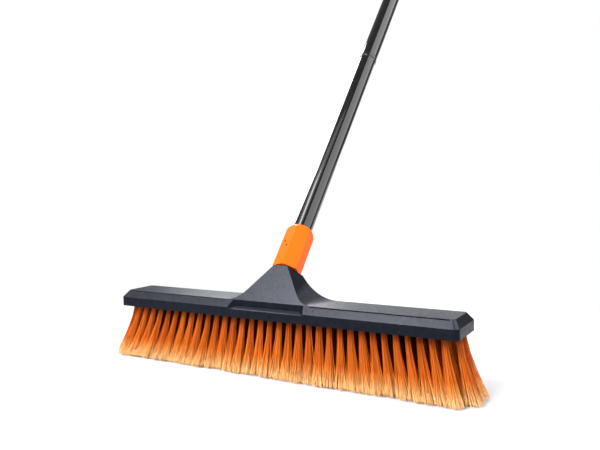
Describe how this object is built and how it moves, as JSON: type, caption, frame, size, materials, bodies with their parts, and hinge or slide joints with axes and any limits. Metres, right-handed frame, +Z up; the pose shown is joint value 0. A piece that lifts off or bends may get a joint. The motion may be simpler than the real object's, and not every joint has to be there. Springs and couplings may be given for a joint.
{
  "type": "push broom",
  "caption": "Push broom: chamfered block with fanned tufts, hexagonal screw socket, and a leaning two-piece tube handle with a twist-lock extension and grip.",
  "frame": {"origin": "on the floor under the middle of the block, at the tip of the middle tuft", "axes": "+X along the block to the right as seen from the front, +Y back, the way the handle leans, +Z up"},
  "size_m": [0.503, 0.9271, 1.1604],
  "materials": {
    "block_plastic": "moulded polypropylene with a fine grain, charcoal",
    "bristle": "orange polymer filament, paler and flagged at the tips",
    "staple_wire": "drawn wire",
    "washer_rubber": "black rubber",
    "orange_plastic": "satin moulded orange",
    "pin_steel": "blackened steel",
    "plug_plastic": "black moulded",
    "black_tube": "glossy black coated steel",
    "grip_plastic": "black, satin"
  },
  "bodies": {
    "handle": {"socket_sleeve": "orange_plastic", "sleeve_pins": "pin_steel", "handle_foot": "plug_plastic", "lower_tube": "black_tube", "lower_joint_plug": "plug_plastic"},
    "washer": {"neck_washer": "washer_rubber"},
    "head": {"head_block": "block_plastic", "tuft_row_1": "bristle", "tuft_row_2": "bristle", "tuft_row_3": "bristle", "tuft_row_4": "bristle", "tuft_row_5": "bristle", "tuft_staples": "staple_wire"},
    "ring": {"joint_ring": "plug_plastic"},
    "upper_handle": {"upper_joint_plug": "plug_plastic", "upper_tube": "black_tube", "joint_pin": "pin_steel", "lock_ferrule": "plug_plastic", "lock_body": "orange_plastic", "lock_seal": "washer_rubber", "lock_collet": "plug_plastic"},
    "lock": {"lock_nut": "orange_plastic"},
    "extension": {"extension_tube": "black_tube", "extension_guide": "plug_plastic", "hand_grip": "grip_plastic", "end_cap": "grip_plastic"}
  },
  "joints": [
    {"name": "head_travel", "type": "slide", "parent": "handle", "child": "washer", "axis": [0, -0.6428, -0.766], "range_m": [0, 0.02541]},
    {"name": "head_turn", "type": "hinge", "parent": "washer", "child": "head", "pos_m": [0, -0.0212, 0.069], "axis": [0, -0.6428, -0.766], "range_deg": [0, 1800]},
    {"name": "upper_travel", "type": "slide", "parent": "handle", "child": "ring", "axis": [0, 0.6428, 0.766], "range_m": [0, 0.01801]},
    {"name": "upper_turn", "type": "hinge", "parent": "ring", "child": "upper_handle", "pos_m": [0, 0.27127, 0.41755], "axis": [0, 0.6428, 0.766], "range_deg": [0, 1440]},
    {"name": "lock_turn", "type": "hinge", "parent": "upper_handle", "child": "lock", "pos_m": [0, 0.67301, 0.89633], "axis": [0, 0.6428, 0.766], "range_deg": [0, 180]},
    {"name": "extension_slide", "type": "slide", "parent": "upper_handle", "child": "extension", "axis": [0, 0.6428, 0.766], "range_m": [-0.185, 0.16]}
  ],
  "couplings": [
    {"joint": "head_travel", "follows": "head_turn", "m_per_rad": 0.00080851},
    {"joint": "upper_travel", "follows": "upper_turn", "m_per_rad": 0.0007162}
  ]
}
